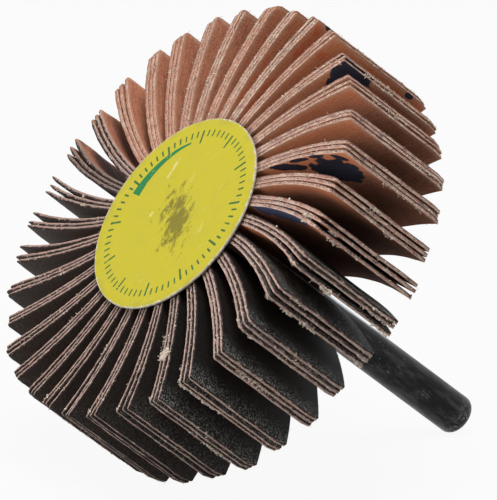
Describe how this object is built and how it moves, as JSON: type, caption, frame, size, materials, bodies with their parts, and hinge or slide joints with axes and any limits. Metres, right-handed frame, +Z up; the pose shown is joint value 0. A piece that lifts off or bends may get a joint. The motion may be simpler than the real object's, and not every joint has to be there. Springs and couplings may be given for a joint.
{
  "type": "mounted flap wheel",
  "caption": "Flap wheel of abrasive cloth packs bonded in a resin core on a short plain steel spindle, for deburring and blending in a drill or die grinder.",
  "frame": {"origin": "on the ground under the middle of the object's box, as the wheel lies at rest", "axes": "+Z up; +Y towards the shank's free end, so that the printed disc faces -Y and up; +X to the right as seen from the disc's side. The spindle lies in the plane of Y and Z and slopes down towards +Y by about 38 degrees, because the wheel rests on two of its packs and on the shank's end."},
  "size_m": [0.0686, 0.0708, 0.066],
  "materials": {
    "steel": "black oxide, scratched and worn",
    "resin": "dark cast resin",
    "label": "printed card, scuffed",
    "cloth": "brown cotton backing with black grit on one face"
  },
  "bodies": {
    "root": {"spindle": "steel", "core": "resin", "label_disc": "label", "flap_pack_01": "cloth", "flap_pack_02": "cloth", "flap_pack_03": "cloth", "flap_pack_04": "cloth", "flap_pack_05": "cloth", "flap_pack_06": "cloth", "flap_pack_07": "cloth", "flap_pack_08": "cloth", "flap_pack_09": "cloth", "flap_pack_10": "cloth", "flap_pack_11": "cloth", "flap_pack_12": "cloth", "flap_pack_13": "cloth", "flap_pack_14": "cloth", "flap_pack_15": "cloth", "flap_pack_16": "cloth", "flap_pack_17": "cloth", "flap_pack_18": "cloth", "flap_pack_19": "cloth", "flap_pack_20": "cloth", "flap_pack_21": "cloth", "flap_pack_22": "cloth", "flap_pack_23": "cloth", "flap_pack_24": "cloth", "flap_pack_25": "cloth", "flap_pack_26": "cloth", "flap_pack_27": "cloth", "flap_pack_28": "cloth", "flap_pack_29": "cloth", "flap_pack_30": "cloth", "flap_pack_31": "cloth", "flap_pack_32": "cloth", "flap_pack_33": "cloth", "flap_pack_34": "cloth", "flap_pack_35": "cloth"}
  },
  "joints": []
}
